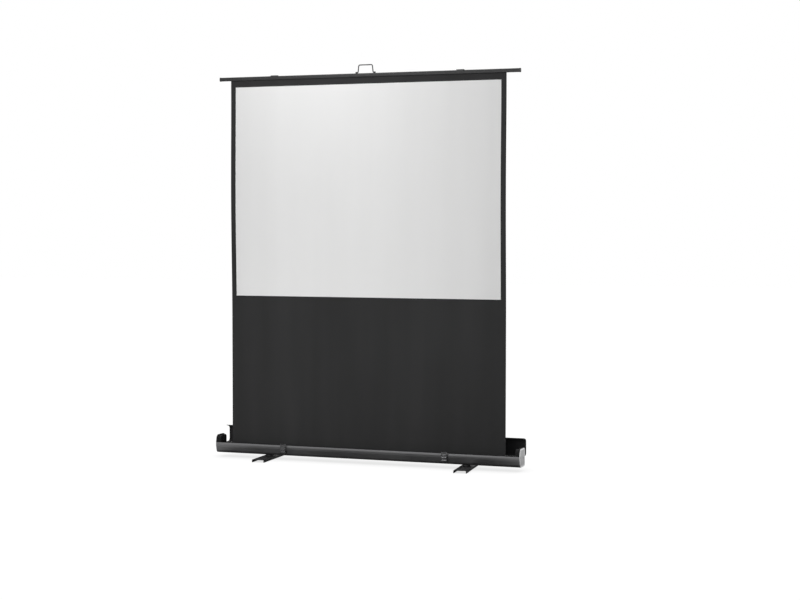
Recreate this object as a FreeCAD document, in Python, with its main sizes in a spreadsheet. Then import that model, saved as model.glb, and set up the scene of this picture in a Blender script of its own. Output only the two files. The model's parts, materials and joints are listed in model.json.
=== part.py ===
import FreeCAD, Part
import math
import os
import Sketcher
from types import SimpleNamespace

# Portable pull-up projection screen. Millimetres, X along the case, -Y towards the viewer, Z up.
# The origin lies on the floor, under the middle of the case. The screen stands pulled up, the lid open.

Vector = FreeCAD.Vector

SIZES = {
    # case: a long box of rounded-square section, parted into a tray and a lid
    "case_length": 1380,
    "case_depth": 77,
    "case_height": 77,
    "case_lift": 19,
    "case_wall": 2,
    "case_radius": 14,
    "front_radius": 16,
    "case_bulge": 9,
    "bulge_radius": 60,
    "front_wall_height": 45,
    "rear_wall_height": 38,
    "lid_part_gap": 0.5,
    "lid_open_angle": 90,
    "cap_thickness": 6,
    "cap_proud": 0.8,
    "cap_post_depth": 9,
    "cap_post_room": 4,
    "cheek_depth": 13,
    "cheek_drop": 6,
    "cheek_groove_rise": 5,
    "cheek_groove_pitch": 7,
    "cheek_groove_width": 2.5,
    "cheek_groove_reach": 9.5,
    "trim_thickness": 1.5,
    "trim_inset": 0.5,
    "trim_rim": 5,
    "trim_recess": 0.7,
    "cap_screw_spread": 20,
    # fits
    "running_fit": 0.05,
    "soft_gap": 0.3,
    # screen
    "white_end_room": 90,
    "white_height": 900,
    "white_bottom": 705,
    "side_border": 22.5,
    "top_border": 28,
    "fabric_thickness": 0.5,
    "fabric_shift": -4,
    # roller inside the case
    "roller_end_room": 32.5,
    "roller_rise": 26,
    "roller_radius": 12,
    "roller_wall": 1.2,
    "wound_thickness": 1,
    "roller_plug_length": 25,
    "roller_flange": 2,
    "axle_radius": 4,
    "axle_reach": 15,
    "arbor_reach": 320,
    "spring_radius": 7,
    "spring_gap": 5,
    "roller_stand_gap": 5,
    "roller_stand_wall": 3,
    "roller_stand_foot": 15,
    "roller_stand_width": 24,
    # top bar
    "bar_end_room": 4,
    "bar_height": 16,
    "bar_depth": 12,
    "bar_wall": 1.5,
    "bar_radius": 4.5,
    "bar_slot": 2,
    "bar_plug_length": 5,
    "bar_plug_spigot": 14,
    "bar_plug_proud": 0.5,
    "slat_depth": 3,
    "slat_height": 5.5,
    # elbow arms behind the fabric
    "arm_pivot_x": 420,
    "arm_pivot_rise": 39,
    "arm_angle": 80,
    "arm_width": 22,
    "arm_corner": 10,
    "arm_thickness": 3.5,
    "arm_groove_width": 8,
    "arm_groove_depth": 0.8,
    "arm_groove_margin": 40,
    "layer_gap": 0.8,
    "pin_radius": 4,
    "pin_head_radius": 6.5,
    "pin_head_height": 1.5,
    "pin_washer_radius": 9,
    # saddles on the bar that carry the arms
    "saddle_width": 31,
    "saddle_rise": 3,
    "saddle_lip": 2,
    "saddle_plate": 3,
    "saddle_drop": 18,
    "saddle_screw_spread": 10,
    # brackets in the tray that carry the arms
    "base_width": 28,
    "base_wall": 3,
    "base_foot": 20,
    "base_margin": 11,
    "base_rib_width": 6,
    "base_rib_reach": 14,
    "base_screw_spread": 8,
    # screws and rivets
    "screw_radius": 2,
    "screw_head_radius": 3.6,
    "screw_head_height": 1.6,
    "rivet_radius": 1.6,
    "rivet_head_radius": 2.8,
    "rivet_head_height": 0.8,
    "rivet_grip": 4,
    # pull handle
    "handle_foot_span": 68,
    "handle_top_span": 61,
    "handle_rise": 37,
    "handle_wire": 2.3,
    "handle_corner": 6,
    "handle_foot_corner": 3,
    "handle_stub": 10.5,
    "clip_width": 7,
    "clip_depth": 7,
    "clip_height": 5.8,
    # lid hinges
    "hinge_spread": 480,
    "hinge_length": 60,
    "hinge_middle": 20,
    "hinge_play": 0.3,
    "knuckle_radius": 2.6,
    "knuckle_offset": 3,
    "hinge_drop": 4,
    "hinge_pin_radius": 1.4,
    "leaf_thickness": 1.2,
    "leaf_height": 16,
    "leaf_clear": 3.2,
    # latches on the front of the case
    "latch_x": 366,
    "latch_width": 24.5,
    "latch_foot": 11,
    "latch_height": 32,
    "latch_plate": 2.5,
    "latch_depth": 6,
    "ear_wall": 2,
    "ear_height": 12,
    "ear_radius": 3,
    "lever_play": 0.4,
    "lever_wall": 2,
    "lever_length": 24,
    "lever_lip": 3.5,
    "lever_pin_radius": 1.5,
    "lever_barrel": 3,
    "loop_offset": 12,
    "loop_reach": 22,
    "loop_wire": 1.1,
    "loop_corner": 3,
    "loop_foot_corner": 2,
    "loop_grip": 4,
    "loop_barrel": 2.6,
    "keeper_width": 20,
    "keeper_rise": 6,
    "keeper_height": 8,
    "keeper_hook": 2,
    # cross feet
    "foot_pivot_x": 450,
    "foot_length": 270,
    "foot_turn_left": 3.5,
    "foot_turn_right": 6.3,
    "foot_width": 55,
    "foot_height": 12.5,
    "foot_wall": 2.5,
    "foot_radius": 4,
    "foot_rib_spread": 19,
    "foot_rib_width": 4,
    "foot_rib_height": 0.8,
    "foot_bolt_radius": 5,
    "foot_bolt_head": 9,
    "foot_bolt_head_height": 4,
    "foot_washer_radius": 16,
}


class Dim:
    """A size held both as a number and as the sheet formula that gives it."""

    def __init__(self, value, formula):
        self.value = value
        self.formula = formula

    def __add__(self, other):
        other = dim(other)
        return Dim(self.value + other.value, f"({self.formula} + {other.formula})")

    def __radd__(self, other):
        return self + other

    def __sub__(self, other):
        other = dim(other)
        return Dim(self.value - other.value, f"({self.formula} - {other.formula})")

    def __rsub__(self, other):
        return dim(other) - self

    def __mul__(self, other):
        other = dim(other)
        return Dim(self.value * other.value, f"({self.formula} * {other.formula})")

    def __rmul__(self, other):
        return self * other

    def __truediv__(self, other):
        other = dim(other)
        return Dim(self.value / other.value, f"({self.formula} / {other.formula})")

    def __neg__(self):
        return Dim(-self.value, f"(0 - {self.formula})")


def dim(size):
    """Any plain number as a Dim."""
    if isinstance(size, Dim):
        return size
    return Dim(float(size), f"({float(size)})")


def sine(angle):
    return Dim(math.sin(math.radians(angle.value)), f"sin({angle.formula} * 1deg)")


def cosine(angle):
    return Dim(math.cos(math.radians(angle.value)), f"cos({angle.formula} * 1deg)")


doc = FreeCAD.newDocument("projection_screen")
sheet = doc.addObject("Spreadsheet::Sheet", "Sizes")
for row, (alias, number) in enumerate(SIZES.items(), start=1):
    sheet.set(f"A{row}", alias)
    sheet.set(f"B{row}", str(number))
    sheet.setAlias(f"B{row}", alias)
doc.recompute()
s = SimpleNamespace(**{alias: Dim(float(number), f"Sizes.{alias}") for alias, number in SIZES.items()})


def follow(alias, size):
    """Adds a size to the sheet that is worked out from the ones above it."""
    row = len(vars(s)) + 1
    sheet.set(f"A{row}", alias)
    sheet.set(f"B{row}", "=" + size.formula.replace("Sizes.", ""))
    sheet.setAlias(f"B{row}", alias)
    doc.recompute()
    setattr(s, alias, Dim(size.value, f"Sizes.{alias}"))


# lengths that follow the case's, each by its own room at the ends
end_depth = s.trim_thickness + s.cap_thickness
follow("white_width", s.case_length - 2 * s.white_end_room)
follow("roller_length", s.case_length - 2 * (end_depth + s.roller_end_room))
follow("bar_length", s.case_length - 2 * (end_depth + s.bar_end_room))

nodes = []


def node(label, shape):
    """Names a finished sub-part."""
    shape.Label = label
    nodes.append(shape)
    return shape


def bind(item, **sizes):
    """Ties properties of an object to sheet formulas."""
    for name, size in sizes.items():
        item.setExpression(name, dim(size).formula)


def place(item, x=0, y=0, z=0):
    """Ties an object's place to sheet formulas."""
    for axis, size in (("x", x), ("y", y), ("z", z)):
        item.setExpression(f"Placement.Base.{axis}", dim(size).formula)
    return item


def box(name, x, y, z):
    """Box between two limits on each axis."""
    item = doc.addObject("Part::Box", name)
    bind(item, Length=x[1] - x[0], Width=y[1] - y[0], Height=z[1] - z[0])
    return place(item, x[0], y[0], z[0])


ROD_TURN = {
    "x": FreeCAD.Rotation(Vector(0, 1, 0), 90),
    "y": FreeCAD.Rotation(Vector(1, 0, 0), -90),
    "z": FreeCAD.Rotation(),
}


def rod(name, axis, start, radius, length):
    """Cylinder that runs from start along one axis."""
    item = doc.addObject("Part::Cylinder", name)
    item.Placement = FreeCAD.Placement(Vector(), ROD_TURN[axis])
    bind(item, Radius=radius, Height=length)
    return place(item, *start)


def fuse(name, *items):
    item = doc.addObject("Part::MultiFuse", name)
    item.Shapes = list(items)
    return item


def cut(name, base, *tools):
    item = doc.addObject("Part::Cut", name)
    item.Base = base
    item.Tool = tools[0] if len(tools) == 1 else fuse(f"{name}_tools", *tools)
    return item


def common(name, base, tool):
    item = doc.addObject("Part::Common", name)
    item.Base = base
    item.Tool = tool
    return item


def group(name, items):
    """Several separate solids that share one node."""
    item = doc.addObject("Part::Compound", name)
    item.Links = list(items)
    return item


def tube(name, axis, start, outer, inner, length):
    return cut(name, rod(f"{name}_outer", axis, start, outer, length),
               rod(f"{name}_bore", axis, start, inner, length))


# sketches


def corner_place(previous, corner, following, radius):
    """Entry, exit and centre of the arc that rounds a corner, and whether it turns to the left."""
    back = (previous - corner).normalize()
    ahead = (following - corner).normalize()
    half_angle = back.getAngle(ahead) / 2
    reach = radius / math.tan(half_angle)
    centre = corner + (back + ahead).normalize() * (radius / math.sin(half_angle))
    return corner + back * reach, corner + ahead * reach, centre, ahead.cross(back).z > 0


def fix_point(sketch, geometry, position, across, up):
    """Ties a sketch point to its two formulas."""
    for kind, size in (("DistanceX", across), ("DistanceY", up)):
        index = sketch.addConstraint(Sketcher.Constraint(kind, -1, 1, geometry, position, size.value))
        sketch.setExpression(f"Constraints[{index}]", size.formula)


def draw(sketch, corners, closed=True):
    """Outline through corners (across, up) or, where rounded, (across, up, radius)."""
    corners = [tuple(dim(size) for size in corner) for corner in corners]
    count = len(corners)
    points = [Vector(corner[0].value, corner[1].value, 0) for corner in corners]
    entries = list(points)
    exits = list(points)
    arcs = {}
    for index, corner in enumerate(corners):
        if len(corner) == 3:
            entry, leave, centre, left = corner_place(
                points[index - 1], points[index], points[(index + 1) % count], corner[2].value)
            entries[index] = entry
            exits[index] = leave
            first, last = (entry, leave) if left else (leave, entry)
            circle = Part.Circle(centre, Vector(0, 0, 1), corner[2].value)
            start = math.atan2(first.y - centre.y, first.x - centre.x)
            end = math.atan2(last.y - centre.y, last.x - centre.x)
            arc = sketch.addGeometry(Part.ArcOfCircle(circle, start, end), False)
            arcs[index] = (arc, 1 if left else 2, 2 if left else 1)
    span = count if closed else count - 1
    lines = []
    for index in range(span):
        segment = Part.LineSegment(exits[index], entries[(index + 1) % count])
        lines.append(sketch.addGeometry(segment, False))
    for index, corner in enumerate(corners):
        if index in arcs:
            arc, arc_start, arc_end = arcs[index]
            sketch.addConstraint(Sketcher.Constraint("Tangent", lines[index - 1], 2, arc, arc_start))
            sketch.addConstraint(Sketcher.Constraint("Tangent", arc, arc_end, lines[index], 1))
            tie = sketch.addConstraint(Sketcher.Constraint("Radius", arc, corner[2].value))
            sketch.setExpression(f"Constraints[{tie}]", corner[2].formula)
            peak = sketch.addGeometry(Part.Point(points[index]), True)
            sketch.addConstraint(Sketcher.Constraint("PointOnObject", peak, 1, lines[index - 1]))
            sketch.addConstraint(Sketcher.Constraint("PointOnObject", peak, 1, lines[index]))
            fix_point(sketch, peak, 1, corner[0], corner[1])
        elif not closed and index == count - 1:
            fix_point(sketch, lines[index - 1], 2, corner[0], corner[1])
        else:
            if closed or index > 0:
                sketch.addConstraint(Sketcher.Constraint("Coincident", lines[index - 1], 2, lines[index], 1))
            fix_point(sketch, lines[index], 1, corner[0], corner[1])


def sketch_on(body, plane, name):
    """Empty sketch on one of the body's own planes."""
    support = next(item for item in body.Origin.OriginFeatures if item.Role == plane)
    sketch = body.newObject("Sketcher::SketchObject", name)
    sketch.AttachmentSupport = [(support, "")]
    sketch.MapMode = "FlatFace"
    return sketch


# plane of the outline, axis that it is drawn out along, whether that is against the plane's normal
DRAWN = {"x": ("YZ_Plane", False), "y": ("XZ_Plane", True), "z": ("XY_Plane", False)}


def prism(name, axis, corners, start, length):
    """Outline drawn out along an axis from start."""
    plane, against = DRAWN[axis]
    body = doc.addObject("PartDesign::Body", name)
    sketch = sketch_on(body, plane, f"{name}_outline")
    draw(sketch, corners)
    pad = body.newObject("PartDesign::Pad", f"{name}_pad")
    pad.Profile = sketch
    pad.Reversed = against
    bind(pad, Length=length)
    return place(body, **{axis: start})


def bent_wire(name, corners, radius, y):
    """Round wire along an open path in an X-Z plane, whose first run lies along X."""
    body = doc.addObject("PartDesign::Body", name)
    path = sketch_on(body, "XZ_Plane", f"{name}_path")
    draw(path, corners, closed=False)
    section = sketch_on(body, "YZ_Plane", f"{name}_section")
    section.setExpression("AttachmentOffset.Base.z", dim(corners[0][0]).formula)
    up = dim(corners[0][1])
    ring = section.addGeometry(Part.Circle(Vector(0, up.value, 0), Vector(0, 0, 1), radius.value), False)
    fix_point(section, ring, 3, dim(0), up)
    tie = section.addConstraint(Sketcher.Constraint("Radius", ring, radius.value))
    section.setExpression(f"Constraints[{tie}]", radius.formula)
    pipe = body.newObject("PartDesign::AdditivePipe", f"{name}_pipe")
    pipe.Profile = section
    pipe.Spine = (path, [])
    return place(body, y=y)


# levels and places that several sub-parts share
SIDES = (("left", -1), ("right", 1))
fabric_width = s.white_width + 2 * s.side_border
fabric_left = s.fabric_shift - fabric_width / 2
bar_bottom = s.white_bottom + s.white_height + s.top_border
bar_middle = bar_bottom + s.bar_height / 2
bar_top = bar_bottom + s.bar_height

case_bottom = s.case_lift
case_floor = case_bottom + s.case_wall
case_middle = case_bottom + s.case_height / 2
case_top = case_bottom + s.case_height
front_rim = case_bottom + s.front_wall_height
rear_rim = case_bottom + s.rear_wall_height

half_length = s.case_length / 2
half_depth = s.case_depth / 2
cap_outer = half_length - s.trim_thickness
cap_inner = half_length - end_depth
hinge_y = half_depth + s.knuckle_offset
hinge_z = rear_rim - s.hinge_drop

roller_half = s.roller_length / 2
stand_inner = roller_half + s.roller_flange + s.roller_stand_gap
roller_z = case_bottom + s.roller_rise
wound_radius = s.roller_radius + s.running_fit + s.wound_thickness
roller_y = -(s.fabric_thickness / 2 + s.soft_gap + wound_radius)

arm_base_z = case_bottom + s.arm_pivot_rise
arm_bar_z = bar_middle - s.saddle_drop
arm_length = (arm_bar_z - arm_base_z) / 2 / sine(s.arm_angle)
elbow_in = arm_length * cosine(s.arm_angle)
elbow_z = (arm_base_z + arm_bar_z) / 2
saddle_front = s.bar_depth / 2 + s.running_fit
saddle_rear = saddle_front + s.saddle_plate


def layer(number):
    """Front face of one of the layers in which the arms lie, counted from the fabric."""
    return saddle_rear + s.layer_gap + number * (s.arm_thickness + s.layer_gap)


def fastener(name, axis, seat, outward, head_radius, head_height, shank_radius, grip):
    """Screw or rivet with its head on a face, its shank running from the face inwards along the axis."""
    index = "xyz".index(axis)
    head_start = list(seat)
    shank_start = list(seat)
    if outward > 0:
        shank_start[index] = seat[index] - grip
    else:
        head_start[index] = seat[index] - head_height
    return fuse(name, rod(f"{name}_head", axis, head_start, head_radius, head_height),
                rod(f"{name}_shank", axis, shank_start, shank_radius, grip))


def screw_hole(name, axis, seat, outward, shank_radius, grip):
    """Clearance hole for such a shank."""
    index = "xyz".index(axis)
    start = list(seat)
    if outward > 0:
        start[index] = seat[index] - grip
    return rod(name, axis, start, shank_radius + s.running_fit, grip)


# case


def section_solid(name, offset, start, length, radius_offset):
    """Full solid of the case's section, moved out or in all round by offset."""
    front = half_depth + offset
    bottom = case_bottom - offset
    top = case_top + offset
    front_radius = s.front_radius + radius_offset
    rear_radius = s.case_radius + radius_offset
    corners = [
        (-(front - s.case_bulge), bottom, front_radius),
        (half_depth + offset, bottom, rear_radius),
        (half_depth + offset, top, rear_radius),
        (-(front - s.case_bulge), top, front_radius),
        (-front, case_middle, s.bulge_radius + radius_offset),
    ]
    return prism(name, "x", corners, start, length)


tray_length = 2 * cap_outer
case_core = section_solid("case_core", dim(0), -cap_outer, tray_length, dim(0))
case_room = section_solid("case_room", -s.case_wall, -cap_outer, tray_length, -s.case_wall)
case_ring = cut("case_ring", case_core, case_room)

LATCHES = [(side, sign * s.latch_x) for side, sign in SIDES]
latch_low = case_bottom + s.latch_foot
latch_face = -(half_depth + s.latch_plate)
rivet_seats = []
for side, x in LATCHES:
    for height in (latch_low + s.latch_height / 2, latch_low + s.latch_height - s.rivet_head_radius * 2):
        rivet_seats.append((x, latch_face, height))
rivet_length = s.latch_plate + s.rivet_grip

BASES = [("left", -1, layer(2)), ("right", 1, layer(4))]
base_screw_seats = []
for side, sign, plate_front in BASES:
    for across in (-s.base_screw_spread, s.base_screw_spread):
        seat = (sign * s.arm_pivot_x + across, plate_front - s.base_foot / 2, case_floor + s.base_wall)
        base_screw_seats.append(seat)
base_screw_grip = s.base_wall + s.case_wall

foot_bolt_seats = [(sign * s.foot_pivot_x, dim(0), case_floor) for side, sign in SIDES]
foot_bolt_grip = s.case_lift - s.foot_height + s.foot_wall + s.case_wall


def case_tray():
    """Lower part of the case: front wall up to its rim, rear wall up to the hinges."""
    reach = (-half_length, half_length)
    ceiling = case_top + s.case_wall
    above_front = box("above_front", reach, (-s.case_depth, dim(0)), (front_rim, ceiling))
    above_rear = box("above_rear", reach, (dim(0), s.case_depth), (rear_rim, ceiling))
    holes = []
    for seat in rivet_seats:
        holes.append(screw_hole("rivet_hole", "y", seat, -1, s.rivet_radius, rivet_length))
    for seat in base_screw_seats:
        holes.append(screw_hole("base_hole", "z", seat, 1, s.screw_radius, base_screw_grip))
    for seat in foot_bolt_seats:
        holes.append(screw_hole("bolt_hole", "z", seat, 1, s.foot_bolt_radius, foot_bolt_grip))
    node("case_tray", cut("tray", case_ring, above_front, above_rear, *holes))


def end_cap(side, sign, holes):
    """Plate inside the tray's end with a crown above the rims, and cheeks in front of and behind the bar."""
    plate_start = cap_inner if sign > 0 else -cap_outer
    reach = (plate_start, plate_start + s.cap_thickness)
    tray_fit = s.case_wall + s.running_fit
    lid_fit = s.case_wall + s.lid_part_gap
    cellar = case_bottom - s.case_wall
    plate = section_solid(f"cap_{side}_plate", -tray_fit, plate_start, s.cap_thickness, -tray_fit)
    full = section_solid(f"cap_{side}_full", s.cap_proud, plate_start, s.cap_thickness, s.cap_proud)
    below_front = box("crown_below_front", reach, (-s.case_depth, dim(0)), (cellar, front_rim + s.running_fit))
    below_rear = box("crown_below_rear", reach, (dim(0), s.case_depth), (cellar, rear_rim + s.running_fit))
    crown = cut(f"cap_{side}_crown", full, below_front, below_rear)

    beside_bar = s.bar_depth / 2 + s.cap_post_room
    post_start = cap_inner - s.cap_post_depth if sign > 0 else -cap_inner
    post_room = section_solid(f"post_{side}_room", -lid_fit, post_start, s.cap_post_depth, -lid_fit)
    post_box = box(f"post_{side}_box", (post_start, post_start + s.cap_post_depth),
                   (beside_bar, half_depth), (case_bottom, case_top))
    post = common(f"post_{side}", post_room, post_box)

    cheek_start = cap_inner - s.cheek_depth if sign > 0 else -cap_inner
    cheek_reach = (cheek_start, cheek_start + s.cheek_depth)
    cheek_room = section_solid(f"cheek_{side}_room", -lid_fit, cheek_start, s.cheek_depth, -lid_fit)
    cheek_box = box(f"cheek_{side}_box", cheek_reach, (-half_depth, -beside_bar),
                    (front_rim - s.cheek_drop, case_top))
    grooves = []
    for rise in (s.cheek_groove_rise, s.cheek_groove_rise + s.cheek_groove_pitch):
        grooves.append(box("cheek_groove", cheek_reach, (-half_depth, s.cheek_groove_reach - half_depth),
                           (front_rim + rise, front_rim + rise + s.cheek_groove_width)))
    cheek = cut(f"cheek_{side}", common(f"cheek_{side}_blank", cheek_room, cheek_box), *grooves)
    return cut(f"cap_{side}", fuse(f"cap_{side}_solid", plate, crown, post, cheek), *holes)


def end_caps():
    """Ends of the case, each with a pale dished trim and two screws."""
    screws = []
    dish_inset = s.trim_inset + s.trim_rim
    for side, sign in SIDES:
        trim_start = cap_outer if sign > 0 else -half_length
        outer_face = sign * (half_length - s.trim_recess)
        dish_start = half_length - s.trim_recess if sign > 0 else -half_length
        grip = s.cap_thickness + s.trim_thickness - s.trim_recess
        seats = [(outer_face, across, case_middle) for across in (-s.cap_screw_spread, s.cap_screw_spread)]
        cap_holes = [screw_hole("cap_hole", "x", seat, sign, s.screw_radius, grip) for seat in seats]
        trim_holes = [screw_hole("trim_hole", "x", seat, sign, s.screw_radius, grip) for seat in seats]
        node(f"end_cap_{side}", end_cap(side, sign, cap_holes))
        trim = section_solid(f"trim_{side}_solid", -s.trim_inset, trim_start, s.trim_thickness, -s.trim_inset)
        dish = section_solid(f"trim_{side}_dish", -dish_inset, dish_start, s.trim_recess, -dish_inset)
        node(f"end_trim_{side}", cut(f"trim_{side}", trim, dish, *trim_holes))
        for seat in seats:
            screws.append(fastener(f"cap_screw_{side}", "x", seat, sign, s.screw_head_radius,
                                   s.screw_head_height, s.screw_radius, grip))
    node("end_cap_screws", group("cap_screws", screws))


# lid, built shut and then swung open about its hinge line


def swing_open(item):
    """Turns a piece of the shut lid back about the hinge line."""
    turn = -s.lid_open_angle
    item.Placement = FreeCAD.Placement(Vector(), FreeCAD.Rotation(Vector(-1, 0, 0), s.lid_open_angle.value))
    item.setExpression("Placement.Rotation.Angle", f"{s.lid_open_angle.formula} * 1deg")
    shift_y = hinge_y - (hinge_y * cosine(turn) - hinge_z * sine(turn))
    shift_z = hinge_z - (hinge_y * sine(turn) + hinge_z * cosine(turn))
    return place(item, 0, shift_y, shift_z)


HINGES = (("left", -1), ("middle", 0), ("right", 1))
knuckle_half = s.hinge_middle / 2
hinge_half = s.hinge_length / 2
leaf_depth = (half_depth, half_depth + s.leaf_thickness)


def lid():
    """Upper part of the case with its hinge leaves and the keepers that the latches catch."""
    reach = (-half_length, half_length)
    cellar = case_bottom - s.case_wall
    lid_end = cap_inner - s.lid_part_gap
    below_front = box("below_front", reach, (-s.case_depth, dim(0)), (cellar, front_rim + s.lid_part_gap))
    below_rear = box("below_rear", reach, (dim(0), s.case_depth), (cellar, rear_rim + s.lid_part_gap))
    ceiling = case_top + s.case_wall
    through = (-s.case_depth, s.case_depth)
    beside_left = box("beside_left", (-half_length, -lid_end), through, (cellar, ceiling))
    beside_right = box("beside_right", (lid_end, half_length), through, (cellar, ceiling))
    shell = cut("lid", case_ring, below_front, below_rear, beside_left, beside_right)
    node("lid_shell", swing_open(shell))

    leaves = []
    for side, sign in HINGES:
        x = sign * s.hinge_spread
        plate = box("lid_leaf_plate", (x - hinge_half, x + hinge_half), leaf_depth,
                    (hinge_z + s.leaf_clear, hinge_z + s.leaf_height))
        web = box("lid_leaf_web", (x - knuckle_half, x + knuckle_half), leaf_depth,
                  (hinge_z, hinge_z + s.leaf_clear))
        barrel = rod("lid_knuckle", "x", (x - knuckle_half, hinge_y, hinge_z),
                     s.knuckle_radius, s.hinge_middle)
        bore = rod("lid_knuckle_bore", "x", (x - knuckle_half, hinge_y, hinge_z),
                   s.hinge_pin_radius + s.running_fit, s.hinge_middle)
        leaves.append(cut(f"lid_leaf_{side}", fuse("lid_leaf_solid", plate, web, barrel), bore))
    node("hinge_leaves_lid", swing_open(group("lid_leaves", leaves)))

    keepers = []
    for side, x in LATCHES:
        low = front_rim + s.keeper_rise
        high = low + s.keeper_height
        across = (x - s.keeper_width / 2, x + s.keeper_width / 2)
        face = -(half_depth + s.keeper_hook)
        plate = box("keeper_plate", across, (face, s.case_bulge - half_depth), (low, high))
        hook = box("keeper_hook", across, (face - s.keeper_hook, -half_depth), (high - s.keeper_hook, high))
        keepers.append(cut(f"keeper_{side}", fuse("keeper_solid", plate, hook), case_core))
    node("latch_keepers", swing_open(group("keepers", keepers)))


def case_hinges():
    """Hinge leaves on the tray's rear wall and the pins through the knuckles."""
    leaves = []
    pins = []
    outer_length = hinge_half - knuckle_half - s.hinge_play
    for side, sign in HINGES:
        x = sign * s.hinge_spread
        plate = box("case_leaf_plate", (x - hinge_half, x + hinge_half), leaf_depth,
                    (hinge_z - s.leaf_height, hinge_z - s.leaf_clear))
        pieces = [plate]
        for start in (x - hinge_half, x + knuckle_half + s.hinge_play):
            pieces.append(box("case_leaf_web", (start, start + outer_length), leaf_depth,
                              (hinge_z - s.leaf_clear, hinge_z)))
            pieces.append(rod("case_knuckle", "x", (start, hinge_y, hinge_z), s.knuckle_radius, outer_length))
        bore = rod("case_knuckle_bore", "x", (x - hinge_half, hinge_y, hinge_z),
                   s.hinge_pin_radius + s.running_fit, s.hinge_length)
        leaves.append(cut(f"case_leaf_{side}", fuse("case_leaf_solid", *pieces), bore))
        pins.append(rod(f"hinge_pin_{side}", "x", (x - hinge_half, hinge_y, hinge_z),
                        s.hinge_pin_radius, s.hinge_length))
    node("hinge_leaves_case", group("case_leaves", leaves))
    node("hinge_pins", group("pins", pins))


# latches


def latches():
    """Over-centre latches: base with ears, pivot pin, lever and wire loop on each side."""
    rivets = []
    pins = []
    pivot_y = -(half_depth + s.latch_depth)
    pivot_z = latch_low + s.latch_depth
    half_width = s.latch_width / 2
    lever_half = half_width - s.ear_wall - s.lever_play
    loop_z = pivot_z + s.loop_offset
    for side, x in LATCHES:
        across = (x - half_width, x + half_width)
        plate = box("latch_plate", across, (latch_face, -half_depth + s.case_bulge),
                    (latch_low, latch_low + s.latch_height))
        pieces = [plate]
        for start in (x - half_width, x + half_width - s.ear_wall):
            pieces.append(box("latch_ear", (start, start + s.ear_wall), (pivot_y - s.ear_radius, -half_depth),
                              (latch_low, latch_low + s.ear_height)))
        pin_bore = rod("latch_pin_bore", "x", (x - half_width, pivot_y, pivot_z),
                       s.lever_pin_radius + s.running_fit, s.latch_width)
        holes = [screw_hole("latch_hole", "y", seat, -1, s.rivet_radius, rivet_length)
                 for seat in rivet_seats if seat[0] is x]
        node(f"latch_base_{side}",
             cut(f"latch_{side}", fuse("latch_solid", *pieces), case_core, pin_bore, *holes))
        pins.append(rod(f"latch_pin_{side}", "x", (x - half_width, pivot_y, pivot_z),
                        s.lever_pin_radius, s.latch_width))

        width = (x - lever_half, x + lever_half)
        lever_top = pivot_z + s.lever_length
        blade = box("lever_blade", width, (pivot_y - s.lever_wall / 2, pivot_y + s.lever_wall / 2),
                    (pivot_z, lever_top))
        lip = box("lever_lip", width, (pivot_y - s.lever_lip, pivot_y), (lever_top - s.lever_wall, lever_top))
        barrel = rod("lever_barrel", "x", (width[0], pivot_y, pivot_z), s.lever_barrel, 2 * lever_half)
        loop_barrel = rod("loop_barrel", "x", (width[0], pivot_y, loop_z), s.loop_barrel, 2 * lever_half)
        bore = rod("lever_bore", "x", (width[0], pivot_y, pivot_z),
                   s.lever_pin_radius + s.running_fit, 2 * lever_half)
        loop_bore = rod("loop_bore", "x", (width[0], pivot_y, loop_z),
                        s.loop_wire + s.running_fit, 2 * lever_half)
        node(f"latch_lever_{side}",
             cut(f"lever_{side}", fuse("lever_solid", blade, lip, barrel, loop_barrel), bore, loop_bore))

        leg = lever_half + s.loop_foot_corner + s.lever_play
        stub = lever_half - s.loop_grip
        loop_top = loop_z + s.loop_reach
        route = [
            (x - stub, loop_z),
            (x - leg, loop_z, s.loop_foot_corner),
            (x - leg, loop_top, s.loop_corner),
            (x + leg, loop_top, s.loop_corner),
            (x + leg, loop_z, s.loop_foot_corner),
            (x + stub, loop_z),
        ]
        node(f"latch_loop_{side}", bent_wire(f"loop_{side}", route, s.loop_wire, pivot_y))
    for seat in rivet_seats:
        rivets.append(fastener("latch_rivet", "y", seat, -1, s.rivet_head_radius, s.rivet_head_height,
                               s.rivet_radius, rivet_length))
    node("latch_pins", group("latch_pin_group", pins))
    node("latch_rivets", group("latch_rivet_group", rivets))


# roller


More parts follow.
